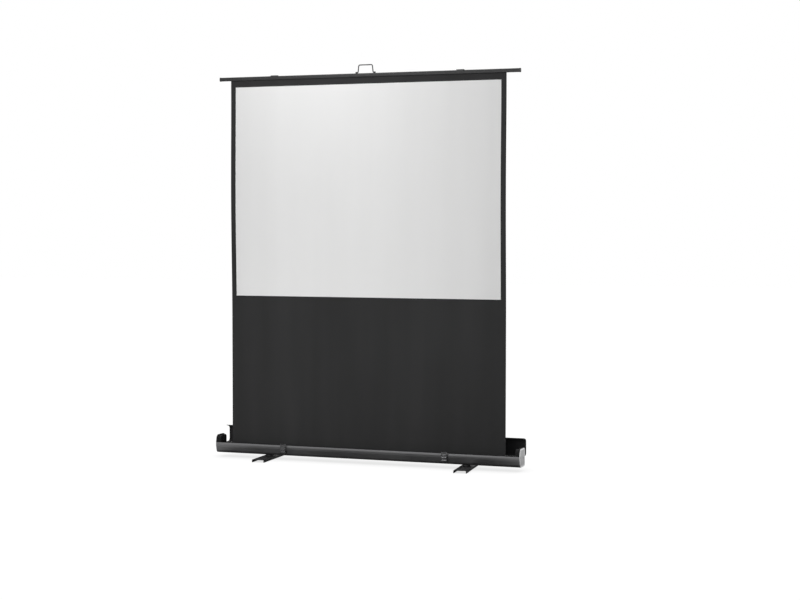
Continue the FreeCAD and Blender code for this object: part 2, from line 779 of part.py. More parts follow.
def roller():
    """Spring roller: tube, last turns of fabric, end plugs, idle pin, spring arbor, spring and stands."""
    start = (-roller_half, roller_y, roller_z)
    inner = s.roller_radius - s.roller_wall
    node("roller_tube", tube("roller", "x", start, s.roller_radius, inner, 2 * roller_half))
    node("wound_fabric", tube("winding", "x", (fabric_left, roller_y, roller_z), wound_radius,
                              s.roller_radius + s.running_fit, fabric_width))
    for side, sign in SIDES:
        spigot_start = roller_half - s.roller_plug_length if sign > 0 else -roller_half
        flange_start = roller_half if sign > 0 else -roller_half - s.roller_flange
        spigot = rod("plug_spigot", "x", (spigot_start, roller_y, roller_z), inner - s.running_fit,
                     s.roller_plug_length)
        flange = rod("plug_flange", "x", (flange_start, roller_y, roller_z), wound_radius, s.roller_flange)
        bore = rod("plug_bore", "x", (-half_length, roller_y, roller_z), s.axle_radius + s.running_fit,
                   s.case_length)
        node(f"roller_plug_{side}", cut(f"plug_{side}", fuse("plug_solid", spigot, flange), bore))

        wall_outer = stand_inner + s.roller_stand_wall
        foot_outer = stand_inner + s.roller_stand_foot
        wall_x = (stand_inner, wall_outer) if sign > 0 else (-wall_outer, -stand_inner)
        foot_x = (stand_inner, foot_outer) if sign > 0 else (-foot_outer, -stand_inner)
        depth = (roller_y - s.roller_stand_width / 2, roller_y + s.roller_stand_width / 2)
        wall = box("stand_wall", wall_x, depth, (case_bottom, roller_z + 2 * s.axle_radius))
        foot = box("stand_foot", foot_x, depth, (case_bottom, case_floor + s.roller_stand_wall))
        stand = common("stand_trimmed", fuse("stand_solid", wall, foot), case_room)
        hole = rod("stand_bore", "x", (-half_length, roller_y, roller_z), s.axle_radius + s.running_fit,
                   s.case_length)
        node(f"roller_stand_{side}", cut(f"stand_{side}", stand, hole))
    node("idle_pin", rod("idle", "x", (-cap_inner, roller_y, roller_z), s.axle_radius,
                         cap_inner - roller_half + s.axle_reach))
    arbor_end = cap_inner - s.arbor_reach
    node("spring_arbor", rod("arbor", "x", (arbor_end, roller_y, roller_z), s.axle_radius, s.arbor_reach))
    spring_length = roller_half - s.roller_plug_length - s.spring_gap - arbor_end
    node("roller_spring", tube("spring", "x", (arbor_end, roller_y, roller_z), s.spring_radius,
                               s.axle_radius + s.running_fit, spring_length))


def screen_fabric():
    """The pulled-up sheet, from the rear of the roller up to the slat in the bar."""
    sheet_top = bar_bottom + s.bar_wall
    node("screen_fabric", box("fabric", (fabric_left, fabric_left + fabric_width),
                              (-s.fabric_thickness / 2, s.fabric_thickness / 2), (roller_z, sheet_top)))


# top bar


def rounded_bar(name, depth, height, radius, start, length):
    """Solid bar of rounded-rectangle section about the bar's middle line."""
    corners = [
        (-depth / 2, bar_middle - height / 2, radius),
        (depth / 2, bar_middle - height / 2, radius),
        (depth / 2, bar_middle + height / 2, radius),
        (-depth / 2, bar_middle + height / 2, radius),
    ]
    return prism(name, "x", corners, start, length)


bar_half = s.bar_length / 2 - s.bar_plug_length
bar_room_depth = s.bar_depth - 2 * s.bar_wall
bar_room_height = s.bar_height - 2 * s.bar_wall
bar_room_radius = s.bar_radius - s.bar_wall
saddle_screw_seats = []
for side, sign in SIDES:
    for across in (-s.saddle_screw_spread, s.saddle_screw_spread):
        saddle_screw_seats.append((sign * s.arm_pivot_x + across, saddle_rear, bar_middle))
saddle_screw_grip = s.saddle_plate + s.bar_wall + 2 * s.running_fit


def top_bar():
    """Slotted tube with end plugs and the slat that holds the fabric's hem."""
    outer = rounded_bar("bar_outer", s.bar_depth, s.bar_height, s.bar_radius, -bar_half, 2 * bar_half)
    room = rounded_bar("bar_room", bar_room_depth, bar_room_height, bar_room_radius, -bar_half, 2 * bar_half)
    slot = box("bar_slot", (-bar_half, bar_half), (-s.bar_slot / 2, s.bar_slot / 2),
               (bar_bottom - s.bar_wall, bar_middle))
    holes = [screw_hole("bar_hole", "y", seat, 1, s.screw_radius, saddle_screw_grip)
             for seat in saddle_screw_seats]
    node("top_bar", cut("bar", outer, room, slot, *holes))
    slat_low = bar_bottom + s.bar_wall
    node("fabric_slat", box("slat", (fabric_left, fabric_left + fabric_width),
                            (-s.slat_depth / 2, s.slat_depth / 2), (slat_low, slat_low + s.slat_height)))
    for side, sign in SIDES:
        head_start = bar_half if sign > 0 else -bar_half - s.bar_plug_length
        spigot_start = bar_half - s.bar_plug_spigot if sign > 0 else -bar_half
        proud = 2 * s.bar_plug_proud
        head = rounded_bar(f"bar_plug_{side}_head", s.bar_depth + proud, s.bar_height + proud,
                           s.bar_radius + s.bar_plug_proud, head_start, s.bar_plug_length)
        loose = 2 * s.running_fit
        spigot = rounded_bar(f"bar_plug_{side}_spigot", bar_room_depth - loose, bar_room_height - loose,
                             bar_room_radius - s.running_fit, spigot_start, s.bar_plug_spigot)
        node(f"bar_plug_{side}", fuse(f"bar_plug_{side}_solid", head, spigot))


def saddles():
    """Fittings over the bar, each with a plate behind it that carries the upper end of an arm."""
    plate_low = arm_bar_z - s.base_margin
    roof = bar_top + s.saddle_rise
    lip_front = -(saddle_front + s.saddle_lip)
    inside_top = bar_top + s.running_fit
    pins = []
    washers = []
    screws = []
    for side, sign in SIDES:
        x = sign * s.arm_pivot_x
        corners = [
            (-saddle_front, bar_middle),
            (-saddle_front, inside_top),
            (saddle_front, inside_top),
            (saddle_front, plate_low),
            (saddle_rear, plate_low),
            (saddle_rear, roof, s.bar_radius),
            (lip_front, roof, s.bar_radius),
            (lip_front, bar_middle),
        ]
        wrap = prism(f"saddle_{side}_wrap", "x", corners, x - s.saddle_width / 2, s.saddle_width)
        arm_front = layer(0) if side == "left" else layer(2)
        washer_front = arm_front - s.layer_gap
        pieces = [wrap]
        if side == "right":
            pieces.append(rod("saddle_boss", "y", (x, saddle_front, arm_bar_z), s.pin_washer_radius,
                              washer_front - saddle_front))
        pin_length = arm_front + s.arm_thickness - saddle_front
        bore = rod("saddle_bore", "y", (x, saddle_front, arm_bar_z), s.pin_radius + s.running_fit, pin_length)
        holes = [screw_hole("saddle_hole", "y", seat, 1, s.screw_radius, saddle_screw_grip)
                 for seat in saddle_screw_seats if seat[0].value * sign > 0]
        solid = fuse(f"saddle_{side}_solid", *pieces) if len(pieces) > 1 else wrap
        node(f"bar_saddle_{side}", cut(f"saddle_{side}", solid, bore, *holes))
        pins.append(arm_pin(f"bar_pin_{side}", x, arm_bar_z, saddle_front, arm_front + s.arm_thickness, 1))
        washers.append(arm_washer(f"bar_washer_{side}", x, arm_bar_z, washer_front))
    for seat in saddle_screw_seats:
        screws.append(fastener("saddle_screw", "y", seat, 1, s.screw_head_radius, s.screw_head_height,
                               s.screw_radius, saddle_screw_grip))
    node("bar_pins", group("bar_pin_group", pins))
    node("bar_washers", group("bar_washer_group", washers))
    node("saddle_screws", group("saddle_screw_group", screws))


def arm_pin(name, x, z, front, rear, head_side):
    """Pivot pin along Y with its head sunk in the arm: at its rear end (1) or its front end (-1)."""
    head_front = rear - s.pin_head_height if head_side > 0 else front
    return fuse(name, rod(f"{name}_shank", "y", (x, front, z), s.pin_radius, rear - front),
                rod(f"{name}_head", "y", (x, head_front, z), s.pin_head_radius, s.pin_head_height))


def arm_washer(name, x, z, front):
    return tube(name, "y", (x, front, z), s.pin_washer_radius, s.pin_radius + s.running_fit, s.layer_gap)


# arms


def arm(label, foot_x, foot_z, tilt, front, sunk_foot, sunk_top):
    """Flat link between two pivots. At each end a head sinks into its front (-1) or rear (1), or not (0)."""
    half = s.arm_width / 2
    blank = prism(f"{label}_blank", "y", [
        (-half, -half, s.arm_corner),
        (arm_length + half, -half, s.arm_corner),
        (arm_length + half, half, s.arm_corner),
        (-half, half, s.arm_corner),
    ], dim(0), s.arm_thickness)
    tools = [box(f"{label}_groove", (s.arm_groove_margin, arm_length - s.arm_groove_margin),
                 (s.arm_thickness - s.arm_groove_depth, s.arm_thickness),
                 (-s.arm_groove_width / 2, s.arm_groove_width / 2))]
    for along, sunk in ((dim(0), sunk_foot), (arm_length, sunk_top)):
        tools.append(rod("arm_bore", "y", (along, 0, 0), s.pin_radius + s.running_fit, s.arm_thickness))
        if sunk:
            sink_start = s.arm_thickness - s.pin_head_height if sunk > 0 else dim(0)
            tools.append(rod("arm_sink", "y", (along, sink_start, 0), s.pin_head_radius + s.running_fit,
                             s.pin_head_height))
    item = cut(f"{label}_link", blank, *tools)
    item.Placement = FreeCAD.Placement(Vector(), FreeCAD.Rotation(Vector(0, -1, 0), tilt.value))
    item.setExpression("Placement.Rotation.Angle", f"{tilt.formula} * 1deg")
    node(label, place(item, foot_x, front, foot_z))


def arms():
    """Two elbow arms whose links fold down into the tray, one arm in front of the other."""
    for side, sign, front_layer in (("left", -1, 0), ("right", 1, 2)):
        tilt = s.arm_angle if sign < 0 else 180 - s.arm_angle
        elbow_x = sign * (s.arm_pivot_x - elbow_in)
        upper_front = layer(front_layer)
        lower_front = layer(front_layer + 1)
        arm(f"lower_arm_{side}", sign * s.arm_pivot_x, arm_base_z, tilt, lower_front, -1, 0)
        arm(f"upper_arm_{side}", elbow_x, elbow_z, 180 - tilt, upper_front, -1, 1)
        node(f"elbow_pin_{side}",
             arm_pin(f"elbow_{side}", elbow_x, elbow_z, upper_front, lower_front + s.arm_thickness, -1))
        node(f"elbow_washer_{side}",
             arm_washer(f"elbow_ring_{side}", elbow_x, elbow_z, upper_front + s.arm_thickness))


def arm_bases():
    """Brackets on the tray's floor, each behind the lower link that it carries."""
    pins = []
    washers = []
    screws = []
    for side, sign, plate_front in BASES:
        x = sign * s.arm_pivot_x
        across = (x - s.base_width / 2, x + s.base_width / 2)
        plate = box("base_plate", across, (plate_front, plate_front + s.base_wall),
                    (case_bottom, arm_base_z + s.base_margin))
        foot = box("base_foot", across, (plate_front - s.base_foot, plate_front + s.base_wall),
                   (case_bottom, case_floor + s.base_wall))
        rib = box("base_rib", (x - s.base_rib_width / 2, x + s.base_rib_width / 2),
                  (plate_front - s.base_rib_reach, plate_front + s.base_wall),
                  (case_bottom, case_floor + s.base_rib_reach))
        trimmed = common("base_trimmed", fuse("base_solid", plate, foot, rib), case_room)
        bore = rod("base_bore", "y", (x, plate_front, arm_base_z), s.pin_radius + s.running_fit, s.base_wall)
        holes = [screw_hole("base_screw_hole", "z", seat, 1, s.screw_radius, base_screw_grip)
                 for seat in base_screw_seats if seat[0].value * sign > 0]
        node(f"arm_base_{side}", cut(f"base_{side}", trimmed, bore, *holes))
        arm_front = plate_front - s.layer_gap - s.arm_thickness
        pins.append(arm_pin(f"base_pin_{side}", x, arm_base_z, arm_front, plate_front + s.base_wall, -1))
        washers.append(arm_washer(f"base_washer_{side}", x, arm_base_z, plate_front - s.layer_gap))
    for seat in base_screw_seats:
        screws.append(fastener("base_screw", "z", seat, 1, s.screw_head_radius, s.screw_head_height,
                               s.screw_radius, base_screw_grip))
    node("base_pins", group("base_pin_group", pins))
    node("base_washers", group("base_washer_group", washers))
    node("arm_base_screws", group("base_screw_group", screws))


# pull handle


def pull_handle():
    """Wire bail that stands on the bar, with the clips that its feet turn in."""
    foot_z = bar_top + s.clip_height / 2
    top_z = bar_top + s.handle_rise - s.handle_wire
    foot = s.handle_foot_span / 2
    top = s.handle_top_span / 2
    route = [
        (-foot - s.handle_stub, foot_z),
        (-foot, foot_z, s.handle_foot_corner),
        (-top, top_z, s.handle_corner),
        (top, top_z, s.handle_corner),
        (foot, foot_z, s.handle_foot_corner),
        (foot + s.handle_stub, foot_z),
    ]
    node("pull_handle", bent_wire("handle", route, s.handle_wire, 0))
    clips = []
    for side, sign in SIDES:
        outer = foot + s.handle_stub
        inner = outer - s.clip_width
        across = (inner, outer) if sign > 0 else (-outer, -inner)
        block = box("clip_block", across, (-s.clip_depth / 2, s.clip_depth / 2),
                    (bar_top, bar_top + s.clip_height))
        bore = rod("clip_bore", "x", (across[0], 0, foot_z), s.handle_wire + s.running_fit, s.clip_width)
        clips.append(cut(f"clip_{side}", block, bore))
    node("handle_clips", group("clips", clips))


# feet


def turned(item, x, angle):
    """Turns a piece about the upright line through its pivot."""
    item.Placement = FreeCAD.Placement(Vector(), FreeCAD.Rotation(Vector(0, 0, 1), angle.value))
    item.setExpression("Placement.Rotation.Angle", f"{angle.formula} * 1deg")
    return place(item, x - x * cosine(angle), -x * sine(angle), 0)


def feet():
    """Inverted channels with two ribs along their tops, which swivel under the case on a bolt each."""
    half = s.foot_width / 2
    inner = half - s.foot_wall
    web_low = s.foot_height - s.foot_wall
    rib_inner = s.foot_rib_spread - s.foot_rib_width / 2
    rib_outer = s.foot_rib_spread + s.foot_rib_width / 2
    rib_top = s.foot_height + s.foot_rib_height
    bolts = []
    washers = []
    for (side, sign), seat in zip(SIDES, foot_bolt_seats):
        x = sign * s.foot_pivot_x
        channel = prism(f"foot_{side}_channel", "y", [
            (x - half, dim(0)),
            (x - inner, dim(0)),
            (x - inner, web_low, s.foot_radius - s.foot_wall),
            (x + inner, web_low, s.foot_radius - s.foot_wall),
            (x + inner, dim(0)),
            (x + half, dim(0)),
            (x + half, s.foot_height, s.foot_radius),
            (x + rib_outer, s.foot_height),
            (x + rib_outer, rib_top),
            (x + rib_inner, rib_top),
            (x + rib_inner, s.foot_height),
            (x - rib_inner, s.foot_height),
            (x - rib_inner, rib_top),
            (x - rib_outer, rib_top),
            (x - rib_outer, s.foot_height),
            (x - half, s.foot_height, s.foot_radius),
        ], -s.foot_length / 2, s.foot_length)
        bore = rod("foot_bore", "z", (x, 0, web_low), s.foot_bolt_radius + s.running_fit, s.foot_wall)
        turn = s.foot_turn_left if sign < 0 else s.foot_turn_right
        node(f"foot_{side}", turned(cut(f"foot_{side}_cut", channel, bore), x, turn))
        head = fastener("foot_bolt_top", "z", seat, 1, s.foot_bolt_head, s.foot_bolt_head_height,
                        s.foot_bolt_radius, foot_bolt_grip)
        nut = rod("foot_nut", "z", (x, 0, web_low - s.foot_bolt_head_height), s.foot_bolt_head,
                  s.foot_bolt_head_height)
        bolts.append(fuse(f"foot_bolt_{side}", head, nut))
        washers.append(tube(f"foot_washer_{side}", "z", (x, 0, s.foot_height), s.foot_washer_radius,
                            s.foot_bolt_radius + s.running_fit, s.case_lift - s.foot_height))
    node("foot_bolts", group("foot_bolt_group", bolts))
    node("foot_washers", group("foot_washer_group", washers))


case_tray()
end_caps()
lid()
case_hinges()
latches()
roller()
screen_fabric()
top_bar()
saddles()
arms()
arm_bases()
pull_handle()
feet()

doc.recompute()
for item in doc.Objects:
    if "Invalid" in item.State or "Error" in item.State:
        raise RuntimeError(f"{item.Name} failed: {item.State}")
for item in nodes:
    if item.Shape.isNull() or not item.Shape.isValid():
        raise RuntimeError(f"{item.Label} has no valid shape")

os.makedirs("parts", exist_ok=True)
for item in nodes:
    item.Shape.exportStep(f"parts/{item.Label}.step")
    print(f"{item.Label}: {len(item.Shape.Solids)} solids, {item.Shape.Volume:.0f} mm3")
print(f"{len(nodes)} nodes, links {arm_length.value:.2f} mm")
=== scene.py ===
import json
import math

import bmesh
import bpy
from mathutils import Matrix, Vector


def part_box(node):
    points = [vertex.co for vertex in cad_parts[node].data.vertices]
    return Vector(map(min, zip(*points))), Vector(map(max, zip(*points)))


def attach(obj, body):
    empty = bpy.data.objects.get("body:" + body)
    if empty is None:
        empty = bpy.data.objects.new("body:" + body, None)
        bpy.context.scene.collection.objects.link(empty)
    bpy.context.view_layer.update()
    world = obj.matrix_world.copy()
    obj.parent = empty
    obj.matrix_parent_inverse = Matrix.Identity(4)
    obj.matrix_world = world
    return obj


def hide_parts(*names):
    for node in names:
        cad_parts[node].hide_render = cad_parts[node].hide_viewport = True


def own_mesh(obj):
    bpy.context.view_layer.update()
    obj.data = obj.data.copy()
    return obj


# Portable pull-up projection screen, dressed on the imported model. Metres, -Y towards the viewer, Z up.

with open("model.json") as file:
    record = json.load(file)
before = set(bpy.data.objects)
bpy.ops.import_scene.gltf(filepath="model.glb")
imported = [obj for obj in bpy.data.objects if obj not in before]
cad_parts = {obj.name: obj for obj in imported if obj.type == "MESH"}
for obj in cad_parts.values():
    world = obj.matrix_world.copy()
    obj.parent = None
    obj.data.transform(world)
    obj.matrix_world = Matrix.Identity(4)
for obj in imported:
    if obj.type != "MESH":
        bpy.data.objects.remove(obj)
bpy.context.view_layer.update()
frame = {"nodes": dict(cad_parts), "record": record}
nodes = frame["nodes"]
slot_of = {part["node"]: part["material_slot"] for part in frame["record"]["subparts"]}

MM = 0.001

# middle line of the case's section for the tray and for the open lid, as (y, z)
TRAY_MIDDLE = (0.0, 57.5 * MM)
LID_MIDDLE = (46.0 * MM, 94.5 * MM)

# width of the painted highlight band round the end trims: a paler rim that stands for light caught on their
# raised edge
TRIM_HIGHLIGHT_BAND = 6.0 * MM

# width of the step at that band's inner edge
BAND_STEP = 0.6 * MM

# faces that meet at a larger angle than this keep a crease
CREASE = math.radians(40)

# tones that several finishes share
DUST_TONE = (0.3, 0.3, 0.29)
BARE_EDGE_TONE = (0.36, 0.36, 0.37)
CHIP_TONE = (0.4, 0.4, 0.41)
INSIDE_DARK_TONE = (0.004, 0.004, 0.0045)
INSIDE_LIGHT_TONE = (0.011, 0.011, 0.012)

# scale of the fine lines that drawing leaves across the metal
DRAWN = 900.0


# materials


class Paint:
    """Builds one procedural material, node by node, in the object's own coordinates."""

    def __init__(self, name):
        self.material = bpy.data.materials.new(name)
        self.material.use_nodes = True
        self.tree = self.material.node_tree
        self.shader = self.tree.nodes["Principled BSDF"]
        self.place = self.add("ShaderNodeTexCoord").outputs["Object"]

    def add(self, kind, **settings):
        node = self.tree.nodes.new(kind)
        for key, value in settings.items():
            setattr(node, key, value)
        return node

    def feed(self, socket, value):
        if isinstance(value, bpy.types.NodeSocket):
            self.tree.links.new(value, socket)
        else:
            socket.default_value = value

    def math(self, operation, first, second=0.0, clamp=False):
        node = self.add("ShaderNodeMath", operation=operation, use_clamp=clamp)
        self.feed(node.inputs[0], first)
        self.feed(node.inputs[1], second)
        return node.outputs[0]

    def vector(self, operation, first, second=(0.0, 0.0, 0.0)):
        node = self.add("ShaderNodeVectorMath", operation=operation)
        self.feed(node.inputs[0], first)
        self.feed(node.inputs[1], second)
        return node.outputs["Value" if operation in ("DOT_PRODUCT", "LENGTH") else "Vector"]

    def stretched(self, x, y, z):
        """The object's coordinates, scaled on each axis."""
        return self.vector("MULTIPLY", self.place, (x, y, z))

    def noise(self, scale, detail=3.0, roughness=0.55, where=None):
        node = self.add("ShaderNodeTexNoise")
        self.feed(node.inputs["Vector"], where or self.place)
        node.inputs["Scale"].default_value = scale
        node.inputs["Detail"].default_value = detail
        node.inputs["Roughness"].default_value = roughness
        return node.outputs["Fac"]

    def cells(self, scale, feature="F1", where=None):
        node = self.add("ShaderNodeTexVoronoi", feature=feature)
        self.feed(node.inputs["Vector"], where or self.place)
        node.inputs["Scale"].default_value = scale
        return node

    def span(self, value, low, high, new_low, new_high):
        """Maps a value from one range to another, held within it."""
        node = self.add("ShaderNodeMapRange", clamp=True)
        self.feed(node.inputs["Value"], value)
        ends = {"From Min": low, "From Max": high, "To Min": new_low, "To Max": new_high}
        for key, number in ends.items():
            node.inputs[key].default_value = number
        return node.outputs["Result"]

    def mix(self, share, first, second):
        node = self.add("ShaderNodeMix", data_type="RGBA")
        self.feed(node.inputs[0], share)
        self.feed(node.inputs[6], tint(first))
        self.feed(node.inputs[7], tint(second))
        return node.outputs[2]

    def mix_value(self, share, first, second):
        node = self.add("ShaderNodeMix", data_type="FLOAT")
        self.feed(node.inputs[0], share)
        self.feed(node.inputs[2], first)
        self.feed(node.inputs[3], second)
        return node.outputs[0]

    def soft_edges(self, radius):
        """Normal that rounds sharp edges off, and a mask of those edges."""
        bevel = self.add("ShaderNodeBevel", samples=4)
        bevel.inputs["Radius"].default_value = radius
        plain = self.add("ShaderNodeNewGeometry").outputs["Normal"]
        facing = self.vector("DOT_PRODUCT", bevel.outputs["Normal"], plain)
        return bevel.outputs["Normal"], self.span(facing, 0.98, 0.75, 0.0, 1.0)

    def inside(self, middle):
        """1 on faces that look towards a middle line along X, 0 on the ones that look away."""
        towards = self.vector("SUBTRACT", (0.0, middle[0], middle[1]), self.place)
        towards = self.vector("MULTIPLY", towards, (0.0, 1.0, 1.0))
        normal = self.add("ShaderNodeTexCoord").outputs["Normal"]
        return self.span(self.vector("DOT_PRODUCT", towards, normal), -2 * MM, 2 * MM, 0.0, 1.0)

    def border(self, low, high, width):
        """1 on a band along the outline of a box seen along X, 0 within it."""
        middle = [(first + last) / 2 for first, last in zip(low, high)]
        half = [(last - first) / 2 for first, last in zip(low, high)]
        off_middle = self.vector("SUBTRACT", self.place, (0.0, middle[1], middle[2]))
        away = self.vector("ABSOLUTE", off_middle)
        split = self.add("ShaderNodeSeparateXYZ")
        self.feed(split.inputs[0], self.vector("SUBTRACT", away, (0.0, half[1], half[2])))
        reach = self.math("MAXIMUM", split.outputs["Y"], split.outputs["Z"])
        return self.span(reach, -width - BAND_STEP, -width, 0.0, 1.0)

    def bump(self, height, strength, distance, normal=None):
        node = self.add("ShaderNodeBump")
        node.inputs["Strength"].default_value = strength
        node.inputs["Distance"].default_value = distance
        self.feed(node.inputs["Height"], height)
        if normal:
            self.feed(node.inputs["Normal"], normal)
        return node.outputs["Normal"]

    def done(self, **sockets):
        """Sets or links the shader's sockets; an underscore in a name stands for a space."""
        for key, value in sockets.items():
            self.feed(self.shader.inputs[key.replace("_", " ")], value)
        return self.material


def tint(value):
    if isinstance(value, (int, float)):
        return (value, value, value, 1.0)
    if isinstance(value, tuple) and len(value) == 3:
        return (*value, 1.0)
    return value


def extruded_paint(name, dark, light, metal, rough, gloss=0.5, middle=None):
    """Satin dark metal section: fine drawing lines along X, soft mottling, paler worn edges.

    Where a middle line is given, the faces that look towards it are coloured a matt near-black.
    """
    paint = Paint(name)
    lines = paint.noise(1.0, 3.0, 0.6, paint.stretched(1.5, DRAWN, DRAWN))
    cloud = paint.noise(9.0, 4.0)
    dust = paint.noise(420.0, 2.0)
    normal, edge = paint.soft_edges(0.7 * MM)
    worn = paint.math("MULTIPLY", edge, paint.span(paint.noise(60.0, 4.0), 0.42, 0.62, 0.0, 1.0))
    mottle = paint.math("ADD", paint.math("MULTIPLY", lines, 0.5), paint.math("MULTIPLY", cloud, 0.5))
    tone = paint.mix(mottle, dark, light)
    tone = paint.mix(paint.span(dust, 0.66, 0.8, 0.0, 0.25), tone, DUST_TONE)
    tone = paint.mix(paint.math("MULTIPLY", worn, 0.35), tone, BARE_EDGE_TONE)
    shine = paint.math("ADD", paint.span(cloud, 0.3, 0.7, rough - 0.05, rough + 0.07),
                       paint.math("MULTIPLY", paint.math("SUBTRACT", lines, 0.5), 0.12))
    bumped = paint.bump(lines, 0.12, 0.3 * MM, normal)
    if middle is None:
        return paint.done(Base_Color=tone, Metallic=metal, Roughness=shine, Specular_IOR_Level=gloss,
                          Normal=bumped)
    # the faces that look into the section are coloured matt near-black
    inner = paint.inside(middle)
    inside_grain = paint.noise(900.0, 3.0)
    tone = paint.mix(inner, tone, paint.mix(inside_grain, INSIDE_DARK_TONE, INSIDE_LIGHT_TONE))
    shine = paint.mix_value(inner, shine, paint.span(inside_grain, 0.3, 0.7, 0.7, 0.92))
    return paint.done(Base_Color=tone, Metallic=paint.span(inner, 0.0, 1.0, metal, 0.0), Roughness=shine,
                      Specular_IOR_Level=gloss, Normal=bumped)


def moulded_plastic(name, dark, light, rough, grain=1500.0, depth=0.25, gloss=0.5, rim=0.6 * MM, worn=0.35):
    """Moulded plastic with a fine erosion grain and paler edges: slight polish, brightened further as a painted
    highlight where worn is set high.
    """
    paint = Paint(name)
    pits = paint.noise(grain, 2.0, 0.5)
    cloud = paint.noise(22.0, 4.0)
    normal, edge = paint.soft_edges(rim)
    tone = paint.mix(cloud, dark, light)
    edge_polish_and_highlight = tuple(min(1.0, part * 2.2 + 0.02) for part in light)
    # paler edges: slight polish, and a painted highlight of caught light where worn is set high
    tone = paint.mix(paint.math("MULTIPLY", edge, worn), tone, edge_polish_and_highlight)
    shine = paint.math("SUBTRACT", paint.span(cloud, 0.3, 0.7, rough - 0.06, rough + 0.08),
                       paint.math("MULTIPLY", edge, 0.12))
    return paint.done(Base_Color=tone, Roughness=shine, Specular_IOR_Level=gloss,
                      Normal=paint.bump(pits, depth, 0.2 * MM, normal))


def coated_metal(name, dark, light, rough, chip, texture=0.0):
    """Painted or powder-coated steel, chipped here and there along its edges."""
    paint = Paint(name)
    cloud = paint.noise(14.0, 4.0)
    skin = paint.noise(1300.0 if texture else 300.0, 2.0)
    normal, edge = paint.soft_edges(0.8 * MM)
    chips = paint.math("MULTIPLY", edge, paint.span(paint.noise(130.0, 5.0, 0.65), 0.56, 0.62, 0.0, 1.0))
    tone = paint.mix(cloud, dark, light)
    tone = paint.mix(paint.math("MULTIPLY", edge, 0.3), tone, tuple(part * 2.5 for part in light))
    tone = paint.mix(paint.math("MULTIPLY", chips, chip), tone, CHIP_TONE)
    shine = paint.span(cloud, 0.3, 0.7, rough - 0.06, rough + 0.08)
    return paint.done(Base_Color=tone, Metallic=paint.math("MULTIPLY", chips, chip), Roughness=shine,
                      Normal=paint.bump(skin, 0.1 + texture, 0.3 * MM, normal))


def plated_metal(name, dark, light, rough, spangle=0.0, smudge=0.1, lines=None, outline=None):
    """Bare or plated metal with smudges, a spangle or drawing lines along one axis.

    Where a box is given as outline, a paler band runs round it, a painted highlight of light on its rim.
    """
    paint = Paint(name)
    cloud = paint.noise(38.0, 4.0)
    normal, edge = paint.soft_edges(0.5 * MM)
    tone = paint.mix(cloud, dark, light)
    # painted highlight: a paler band round the outline stands for light caught on a raised rim
    if outline:
        tone = paint.mix(paint.border(*outline, TRIM_HIGHLIGHT_BAND), tone, tuple(part * 1.55 for part in light))
    if spangle:
        flakes = paint.cells(260.0).outputs["Color"]
        flake_tone = paint.vector("DOT_PRODUCT", flakes, (0.33, 0.33, 0.33))
        tone = paint.mix(paint.math("MULTIPLY", flake_tone, spangle), tone, tuple(part * 0.6 for part in dark))
    rubbed = tuple(min(1.0, part * 1.25) for part in light)
    tone = paint.mix(paint.math("MULTIPLY", edge, 0.3), tone, rubbed)
    marks = paint.noise(85.0, 5.0, 0.6)
    shine = paint.span(marks, 0.35, 0.7, max(0.04, rough - smudge / 2), rough + smudge)
    grain = paint.noise(1.0, 2.0, 0.5, paint.stretched(*lines)) if lines else paint.noise(900.0, 2.0)
    return paint.done(Base_Color=tone, Metallic=1.0, Roughness=shine,
                      Normal=paint.bump(grain, 0.08, 0.2 * MM, normal))


def woven(name, dark, light, pitch, rough, gloss):
    """Coated cloth: a fine plain weave under the coating, faint upright stripes of painted sheen, clouds and
    lint.
    """
    paint = Paint(name)
    weave = None
    for axis in ((1.0, 0.0, 0.0), (0.0, 0.0, 1.0)):
        along = paint.vector("DOT_PRODUCT", paint.place, tuple(part * 2 * math.pi / pitch for part in axis))
        wave = paint.math("SINE", along)
        weave = wave if weave is None else paint.math("MULTIPLY", weave, wave)
    cloud = paint.noise(3.2, 4.0)
    speck = paint.noise(700.0, 2.0)
    # painted sheen: upright bands in the tone stand for light caught along the tensioned cloth; the clouds are
    # random tone
    sheen_bands = paint.noise(1.0, 2.0, 0.5, paint.stretched(7.0, 7.0, 0.7))
    pulled = paint.math("ADD", paint.math("MULTIPLY", cloud, 0.3), paint.span(sheen_bands, 0.3, 0.7, 0.0, 0.5))
    tone = paint.mix(paint.math("ADD", pulled, paint.math("MULTIPLY", speck, 0.2)), dark, light)
    height = paint.math("ADD", paint.math("MULTIPLY", weave, 0.5), speck)
    patches = paint.math("ADD", cloud, paint.math("MULTIPLY", speck, 0.4))
    shine = paint.span(patches, 0.4, 1.0, rough - 0.05, rough + 0.06)
    return paint.done(Base_Color=tone, Roughness=shine, Specular_IOR_Level=gloss,
                      Normal=paint.bump(height, 0.12, 0.2 * MM))


